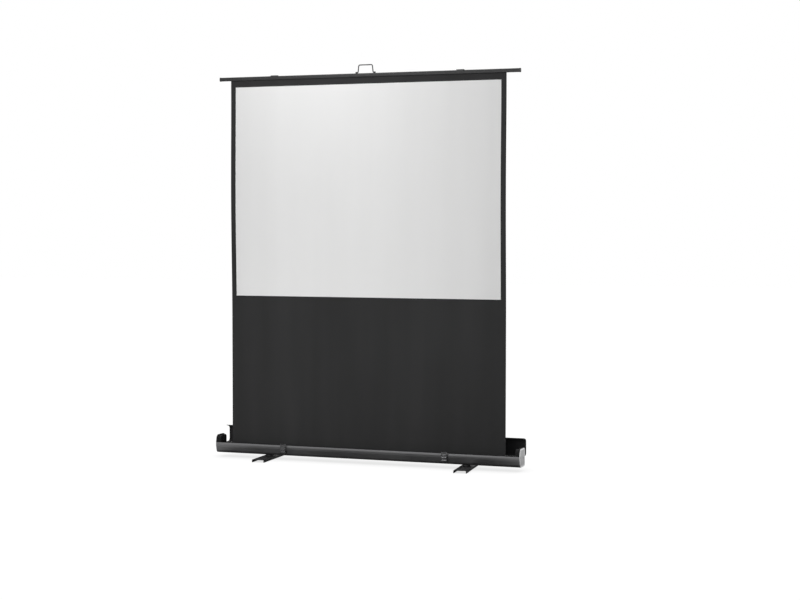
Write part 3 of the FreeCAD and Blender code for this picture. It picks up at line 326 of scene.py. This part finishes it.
# finish of each material slot of the record, darkest and lightest tone first
MATERIALS = {
    # painted highlight: the end caps' edges are lightened far beyond polish to stand for light caught on them
    "cap_black": moulded_plastic(
        "cap_black_plastic", (0.007, 0.007, 0.0075), (0.012, 0.012, 0.0125), rough=0.62, gloss=0.15,
        rim=1.4 * MM, worn=0.9),
    # painted highlight: the end trims get a paler band round their outline for light on their rim
    "trim_silver": plated_metal(
        "trim_silver_satin", (0.34, 0.34, 0.345), (0.43, 0.43, 0.435), rough=0.4, smudge=0.08,
        lines=(DRAWN, DRAWN, 3.0), outline=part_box("end_trim_right")),
    "zinc_steel": plated_metal(
        "zinc_plated_steel", (0.42, 0.42, 0.43), (0.56, 0.56, 0.56), rough=0.36, spangle=0.5),
    "latch_chrome": plated_metal(
        "latch_black_nickel", (0.1, 0.1, 0.103), (0.18, 0.18, 0.184), rough=0.24, smudge=0.14),
    "roller_aluminium": plated_metal(
        "roller_mill_aluminium", (0.52, 0.52, 0.53), (0.66, 0.66, 0.67), rough=0.4, lines=(2.0, DRAWN, DRAWN)),
    "spring_steel": plated_metal(
        "spring_oiled_steel", (0.16, 0.16, 0.165), (0.26, 0.26, 0.265), rough=0.42),
    "bar_black": extruded_paint(
        "bar_satin_black", (0.021, 0.021, 0.0215), (0.035, 0.035, 0.0355), metal=0.1, rough=0.38, gloss=0.3),
    "arm_black": coated_metal(
        "arm_satin_black", (0.012, 0.012, 0.013), (0.022, 0.022, 0.023), rough=0.42, chip=0.6),
    "washer_nylon": moulded_plastic(
        "washer_natural_nylon", (0.6, 0.58, 0.52), (0.7, 0.68, 0.63), rough=0.45, grain=700.0, depth=0.1),
    "plug_black": moulded_plastic(
        "plug_black_plastic", (0.009, 0.009, 0.01), (0.016, 0.016, 0.017), rough=0.46),
    "handle_wire": coated_metal(
        "handle_coated_wire", (0.009, 0.009, 0.0093), (0.016, 0.016, 0.0165), rough=0.5, chip=0.4),
    "foot_black": coated_metal(
        "foot_textured_black", (0.008, 0.008, 0.009), (0.015, 0.015, 0.016), rough=0.5, chip=0.5, texture=0.35),
}

CASE_LOOK = {"dark": (0.16, 0.16, 0.163), "light": (0.216, 0.216, 0.22), "metal": 0.85, "rough": 0.33,
             "gloss": 0.3}
TRAY_PAINT = extruded_paint("tray_satin_black", **CASE_LOOK, middle=TRAY_MIDDLE)
LID_PAINT = extruded_paint("lid_satin_black", **CASE_LOOK, middle=LID_MIDDLE)

WEAVE_PITCH = 0.6 * MM
WHITE_CLOTH = woven("screen_matt_white", (0.755, 0.755, 0.752), (0.8, 0.8, 0.798), WEAVE_PITCH,
                    rough=0.86, gloss=0.25)
BLACK_CLOTH = woven("screen_matt_black", (0.0125, 0.0125, 0.0128), (0.0245, 0.0245, 0.025), WEAVE_PITCH,
                    rough=0.8, gloss=0.3)
ROLL_CLOTH = woven("roll_matt_black", (0.01, 0.01, 0.0105), (0.016, 0.016, 0.0165), WEAVE_PITCH,
                   rough=0.8, gloss=0.3)

for name, item in nodes.items():
    chosen = {"case_tray": TRAY_PAINT, "lid_shell": LID_PAINT}.get(name, MATERIALS.get(slot_of[name]))
    if chosen:
        for place in item.material_slots:
            place.material = chosen


# mesh pieces


def make_object(name, mesh, materials):
    item = bpy.data.objects.new(name, mesh)
    bpy.context.scene.collection.objects.link(item)
    for material in materials:
        mesh.materials.append(material)
    return item


def closed_mesh(model, name, creased=True):
    """Turns a finished bmesh into a smooth-shaded mesh, with its creases kept where asked."""
    bmesh.ops.recalc_face_normals(model, faces=model.faces)
    for face in model.faces:
        face.smooth = True
    mesh = bpy.data.meshes.new(name)
    model.to_mesh(mesh)
    model.free()
    if creased:
        mesh.set_sharp_from_angle(angle=CREASE)
    return mesh


def steps(*stops):
    """Coordinates from the first stop to the last that keep every stop, as (stop, count to the next)."""
    places = []
    for (start, count), (end, _) in zip(stops, stops[1:]):
        places += [start + (end - start) * index / count for index in range(count)]
    return places + [stops[-1][0]]


# edges of the pulled-up sheet and of its white area, and half its thickness
SHEET_LEFT = -626.5 * MM
SHEET_RIGHT = 618.5 * MM
SHEET_LOW = 45 * MM
SHEET_HIGH = 1634.5 * MM
WHITE_LEFT = -604 * MM
WHITE_RIGHT = 596 * MM
WHITE_LOW = 705 * MM
WHITE_HIGH = 1605 * MM
SHEET_HALF = 0.25 * MM

# how the hanging sheet leaves its plane: a bow in the upper part, upright ripples, curled side edges;
# starts and bands are shares of the sheet's height or width
BOW = 7.0 * MM
BOW_START = 0.36
RIPPLE = 0.9 * MM
RIPPLE_WAVES = 7.3
FINE_WAVES = 17.1
FINE_SHARE = 0.35
DROP_SHARE = 0.5
CURL = 1.6 * MM
CURL_BAND = 0.035

# divisions of the sheet
BORDER_COLUMNS = 4
WHITE_COLUMNS = 96
DROP_ROWS = 52
WHITE_ROWS = 72
HEAD_ROWS = 6


def sheet_depth(x, z):
    """How far the hanging sheet lies from its plane, to the rear."""
    up = (z - SHEET_LOW) / (SHEET_HIGH - SHEET_LOW)
    bow = math.sin(math.pi * max(0.0, up - BOW_START) / (1 - BOW_START)) ** 2
    across = (x - SHEET_LEFT) / (SHEET_RIGHT - SHEET_LEFT)
    held = math.sin(math.pi * up) ** 0.7 if 0 < up < 1 else 0.0
    ripple = 0.5 + 0.5 * math.sin(2 * math.pi * (across * RIPPLE_WAVES + 0.12 * math.sin(5.0 * up + 1.0)))
    ripple += FINE_SHARE * (0.5 + 0.5 * math.sin(2 * math.pi * (across * FINE_WAVES + 0.3 * up)))
    drop = max(0.0, 1.0 - up / DROP_SHARE)
    curl = max(0.0, 1.0 - min(across, 1 - across) / CURL_BAND) ** 2
    return held * ((0.25 + 0.75 * drop) * RIPPLE * ripple + CURL * curl) - BOW * bow


def screen_sheet():
    """The pulled-up sheet: a thin closed skin with a printed dark border round the white area."""
    across = steps((SHEET_LEFT, BORDER_COLUMNS), (WHITE_LEFT, WHITE_COLUMNS), (WHITE_RIGHT, BORDER_COLUMNS),
                   (SHEET_RIGHT, 0))
    upward = steps((SHEET_LOW, DROP_ROWS), (WHITE_LOW, WHITE_ROWS), (WHITE_HIGH, HEAD_ROWS), (SHEET_HIGH, 0))
    model = bmesh.new()
    sides = []
    for shift in (-SHEET_HALF, SHEET_HALF):
        sides.append([[model.verts.new((x, sheet_depth(x, z) + shift, z)) for x in across] for z in upward])
    front, rear = sides
    rows = len(upward)
    columns = len(across)
    for row in range(rows - 1):
        for column in range(columns - 1):
            x = (across[column] + across[column + 1]) / 2
            z = (upward[row] + upward[row + 1]) / 2
            face = model.faces.new((front[row][column], front[row][column + 1],
                                    front[row + 1][column + 1], front[row + 1][column]))
            white = WHITE_LEFT < x < WHITE_RIGHT and WHITE_LOW < z < WHITE_HIGH
            face.material_index = 0 if white else 1
            face = model.faces.new((rear[row][column], rear[row + 1][column],
                                    rear[row + 1][column + 1], rear[row][column + 1]))
            face.material_index = 1
    rim = ([(0, column) for column in range(columns)] + [(row, columns - 1) for row in range(1, rows)]
           + [(rows - 1, column) for column in range(columns - 2, -1, -1)]
           + [(row, 0) for row in range(rows - 2, 0, -1)])
    for (row, column), (next_row, next_column) in zip(rim, rim[1:] + rim[:1]):
        face = model.faces.new((front[row][column], rear[row][column],
                                rear[next_row][next_column], front[next_row][next_column]))
        face.material_index = 1
    item = make_object("screen_sheet", closed_mesh(model, "screen_sheet"), (WHITE_CLOTH, BLACK_CLOTH))
    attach(item, "case")
    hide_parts("screen_fabric")
    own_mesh(item)


# axis, radii, turns and divisions of the winding on the roller, and the thickness of one turn
ROLL_Y = -13.6 * MM
ROLL_Z = 45 * MM
ROLL_INNER = 12.1 * MM
ROLL_OUTER = 13.0 * MM
ROLL_TURNS = 2.0
ROLL_STEPS = 144
CLOTH = 0.4 * MM


def fabric_roll():
    """The last turns of the sheet on the roller, wound as one spiral strip."""
    model = bmesh.new()
    rings = []
    for index in range(ROLL_STEPS + 1):
        share = index / ROLL_STEPS
        angle = 2 * math.pi * ROLL_TURNS * share
        inner = ROLL_INNER + (ROLL_OUTER - CLOTH - ROLL_INNER) * share
        turn = Vector((0.0, math.cos(angle), math.sin(angle)))
        ring = []
        for x, radius in ((SHEET_LEFT, inner), (SHEET_RIGHT, inner), (SHEET_RIGHT, inner + CLOTH),
                          (SHEET_LEFT, inner + CLOTH)):
            ring.append(model.verts.new(Vector((x, ROLL_Y, ROLL_Z)) + turn * radius))
        rings.append(ring)
    for ring, following in zip(rings, rings[1:]):
        for index in range(4):
            after = (index + 1) % 4
            model.faces.new((ring[index], ring[after], following[after], following[index]))
    model.faces.new(rings[0])
    model.faces.new(rings[-1])
    item = make_object("fabric_roll", closed_mesh(model, "fabric_roll"), (ROLL_CLOTH,))
    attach(item, "roller")
    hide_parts("wound_fabric")


# rivet head: sides, and its outline as shares of radius and height
DOME_SIDES = 20
DOME_PROFILE = ((1.0, 0.0), (1.0, 0.22), (0.93, 0.45), (0.76, 0.72), (0.5, 0.9), (0.24, 0.98))


def dome(model, centre, axis, radius, height):
    """Low round rivet head on a face, with a small skirt."""
    axis = Vector(axis).normalized()
    side = axis.orthogonal().normalized()
    other = axis.cross(side)
    rings = []
    for wide, high in DOME_PROFILE:
        ring = []
        for index in range(DOME_SIDES):
            angle = 2 * math.pi * index / DOME_SIDES
            spot = (side * math.cos(angle) + other * math.sin(angle)) * radius * wide
            ring.append(model.verts.new(Vector(centre) + spot + axis * height * high))
        rings.append(ring)
    for ring, following in zip(rings, rings[1:]):
        for index in range(DOME_SIDES):
            after = (index + 1) % DOME_SIDES
            model.faces.new((ring[index], ring[after], following[after], following[index]))
    model.faces.new(rings[-1])
    model.faces.new(list(reversed(rings[0])))


# middles of the hinges along the case, and the rivets on their leaves
HINGE_X = (-0.48, 0.0, 0.48)
REAR_LEAF_Y = 39.7 * MM
RIVET_SHIFTS = (-22 * MM, -7 * MM, 7 * MM, 22 * MM)
RIVET_RADIUS = 2.6 * MM
RIVET_HEIGHT = 1.1 * MM
RIVET_INSET = 5 * MM
LID_RIVET_RISE = 4.4 * MM


def hinge_rivets():
    """Rivet heads that fasten the hinge leaves to the tray and to the lid."""
    for body, name in (("case", "tray_hinge_rivets"), ("lid", "lid_hinge_rivets")):
        low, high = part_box("hinge_leaves_case" if body == "case" else "hinge_leaves_lid")
        model = bmesh.new()
        for x in HINGE_X:
            for shift in RIVET_SHIFTS:
                if body == "case":
                    place, axis = (x + shift, REAR_LEAF_Y, low[2] + RIVET_INSET), (0, 1, 0)
                else:
                    place, axis = (x + shift, high[1] - RIVET_INSET, low[2] + LID_RIVET_RISE), (0, 0, -1)
                dome(model, place, axis, RIVET_RADIUS, RIVET_HEIGHT)
        item = make_object(name, closed_mesh(model, name, creased=False), (MATERIALS["zinc_steel"],))
        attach(item, body)


# the handle's clips, the shortest edge of theirs that is rounded, and the rivet on each
CLIP_WIDTH = 7.0 * MM
CLIP_ROUND = 0.9 * MM
CLIP_SHORTEST_EDGE = 2.5 * MM
CLIP_RIVET_RADIUS = 1.5 * MM
CLIP_RIVET_HEIGHT = 0.6 * MM


def clip_blocks():
    """The pull handle's two clips: rounded blocks, each with a rivet head on top."""
    model = bmesh.new()
    model.from_mesh(nodes["handle_clips"].data)
    bmesh.ops.remove_doubles(model, verts=model.verts, dist=0.001 * MM)
    bmesh.ops.dissolve_limit(model, angle_limit=math.radians(1), verts=model.verts, edges=model.edges)
    outer = [edge for edge in model.edges
             if edge.calc_length() > CLIP_SHORTEST_EDGE and edge.calc_face_angle(0.0) > CREASE]
    bmesh.ops.bevel(model, geom=outer, offset=CLIP_ROUND, offset_type="OFFSET", segments=3, profile=0.5,
                    affect="EDGES", clamp_overlap=True)
    block = set(model.faces)
    low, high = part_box("handle_clips")
    for x in (low[0] + CLIP_WIDTH / 2, high[0] - CLIP_WIDTH / 2):
        top = (x, (low[1] + high[1]) / 2, high[2])
        dome(model, top, (0, 0, 1), CLIP_RIVET_RADIUS, CLIP_RIVET_HEIGHT)
    for face in model.faces:
        face.material_index = 0 if face in block else 1
    item = make_object("clip_blocks", closed_mesh(model, "clip_blocks"),
                       (MATERIALS["plug_black"], MATERIALS["arm_black"]))
    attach(item, "bar")
    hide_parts("handle_clips")


screen_sheet()
fabric_roll()
hinge_rivets()
clip_blocks()


# stage, light and camera


def ray_share(tree, *kinds):
    """1 for rays of the named kinds, 0 for the rest."""
    path = tree.nodes.new("ShaderNodeLightPath")
    share = path.outputs[kinds[0]]
    for kind in kinds[1:]:
        most = tree.nodes.new("ShaderNodeMath")
        most.operation = "MAXIMUM"
        tree.links.new(share, most.inputs[0])
        tree.links.new(path.outputs[kind], most.inputs[1])
        share = most.outputs[0]
    return share


def choose(tree, share, plain, seen):
    mix = tree.nodes.new("ShaderNodeMixShader")
    tree.links.new(share, mix.inputs[0])
    tree.links.new(plain, mix.inputs[1])
    tree.links.new(seen, mix.inputs[2])
    return mix.outputs[0]


def glowing_floor(tree, grey, strength, shadow, reach, darkest):
    """Floor that looks white away from the object and keeps a soft shadow near it.

    The shadow starts within reach of the object and is full where no more than darkest of the sky is open.
    """
    matt = tree.nodes.new("ShaderNodeBsdfDiffuse")
    matt.inputs["Color"].default_value = (grey, grey, grey, 1.0)
    hollow = tree.nodes.new("ShaderNodeAmbientOcclusion")
    hollow.inputs["Distance"].default_value = reach
    level = tree.nodes.new("ShaderNodeMapRange")
    level.inputs["From Min"].default_value = darkest
    level.inputs["To Min"].default_value = strength * (1 - shadow)
    level.inputs["To Max"].default_value = strength
    tree.links.new(hollow.outputs["AO"], level.inputs["Value"])
    glow = tree.nodes.new("ShaderNodeEmission")
    tree.links.new(level.outputs["Result"], glow.inputs["Strength"])
    both = tree.nodes.new("ShaderNodeAddShader")
    tree.links.new(matt.outputs[0], both.inputs[0])
    tree.links.new(glow.outputs[0], both.inputs[1])
    return both.outputs[0]


# the floor as a source of light, and the strength of the surroundings as light and as seen
FLOOR_GREY = 0.6
FLOOR_SIZE = 40.0
WHITE = (1.0, 1.0, 1.0, 1.0)
WORLD_LIGHT = 0.42
WORLD_SEEN = 1.0


def studio():
    """White surroundings and a pale floor, both lighting the object less than they look."""
    world = bpy.data.worlds.new("studio")
    bpy.context.scene.world = world
    world.use_nodes = True
    tree = world.node_tree
    plain = tree.nodes["Background"]
    plain.inputs["Color"].default_value = WHITE
    plain.inputs["Strength"].default_value = WORLD_LIGHT
    white = tree.nodes.new("ShaderNodeBackground")
    white.inputs["Color"].default_value = WHITE
    white.inputs["Strength"].default_value = WORLD_SEEN
    seen = ray_share(tree, "Is Camera Ray", "Is Glossy Ray", "Is Transmission Ray")
    tree.links.new(choose(tree, seen, plain.outputs[0], white.outputs[0]),
                   tree.nodes["World Output"].inputs["Surface"])

    bpy.ops.mesh.primitive_plane_add(size=FLOOR_SIZE, location=(0.0, 0.0, 0.0))
    floor = bpy.context.object
    floor.name = "floor"
    material = bpy.data.materials.new("floor_pale")
    material.use_nodes = True
    tree = material.node_tree
    tree.nodes.remove(tree.nodes["Principled BSDF"])
    matt = tree.nodes.new("ShaderNodeBsdfDiffuse")
    matt.inputs["Color"].default_value = (FLOOR_GREY, FLOOR_GREY, FLOOR_GREY, 1.0)
    mirrored = glowing_floor(tree, grey=0.06, strength=0.92, shadow=1.0, reach=0.85, darkest=0.71)
    looked_at = glowing_floor(tree, grey=0.12, strength=0.96, shadow=0.25, reach=0.1, darkest=0.0)
    surface = choose(tree, ray_share(tree, "Is Glossy Ray", "Is Transmission Ray"), matt.outputs[0], mirrored)
    surface = choose(tree, ray_share(tree, "Is Camera Ray"), surface, looked_at)
    tree.links.new(surface, tree.nodes["Material Output"].inputs["Surface"])
    floor.data.materials.append(material)


def softbox(name, place, target, wide, high, power, mirrored=True):
    """Soft lamp that shines from a place to a target; mirrored is whether it shows in reflections."""
    lamp = bpy.data.lights.new(name, "AREA")
    lamp.shape = "RECTANGLE"
    lamp.size = wide
    lamp.size_y = high
    lamp.energy = power
    item = bpy.data.objects.new(name, lamp)
    item.location = place
    item.rotation_euler = (Vector(target) - Vector(place)).to_track_quat("-Z", "Y").to_euler()
    item.visible_camera = False
    item.visible_glossy = mirrored
    bpy.context.scene.collection.objects.link(item)


# camera solved from the photograph: angles in degrees, lens and sensor in millimetres
CAMERA_PLACE = (2.656, -6.698, 1.023)
CAMERA_YAW = 20.48
CAMERA_DIP = 2.61
CAMERA_LENS = 76.76
SENSOR_WIDTH = 36.0
CAMERA_REACH = 100.0


def camera():
    lens = bpy.data.cameras.new("camera")
    lens.sensor_fit = "HORIZONTAL"
    lens.sensor_width = SENSOR_WIDTH
    lens.lens = CAMERA_LENS
    lens.clip_end = CAMERA_REACH
    item = bpy.data.objects.new("camera", lens)
    item.location = CAMERA_PLACE
    item.rotation_euler = (math.radians(90 - CAMERA_DIP), 0.0, math.radians(CAMERA_YAW))
    bpy.context.scene.collection.objects.link(item)
    bpy.context.scene.camera = item


studio()
softbox("key", (-0.05, -1.6, 0.95), (-0.08, 0.0, 0.95), wide=0.9, high=0.9, power=8.8)
softbox("hot", (-0.3, -0.7, 2.05), (-0.27, 0.0, 1.5), wide=0.4, high=0.3, power=3.0)
softbox("low", (-0.4, -0.8, 0.1), (-0.36, 0.0, 0.65), wide=0.9, high=0.3, power=2.3, mirrored=False)
softbox("strip", (0.2, -0.8, 2.15), (0.12, 0.0, 1.5), wide=1.3, high=0.25, power=1.9)
softbox("fill", (2.8, -3.2, 1.2), (0.1, 0.0, 0.7), wide=1.6, high=2.0, power=7.0)
softbox("top", (0.2, 1.8, 3.2), (0.0, 0.0, 0.8), wide=2.2, high=1.2, power=25.0)
camera()
bpy.context.scene.view_settings.view_transform = "Standard"
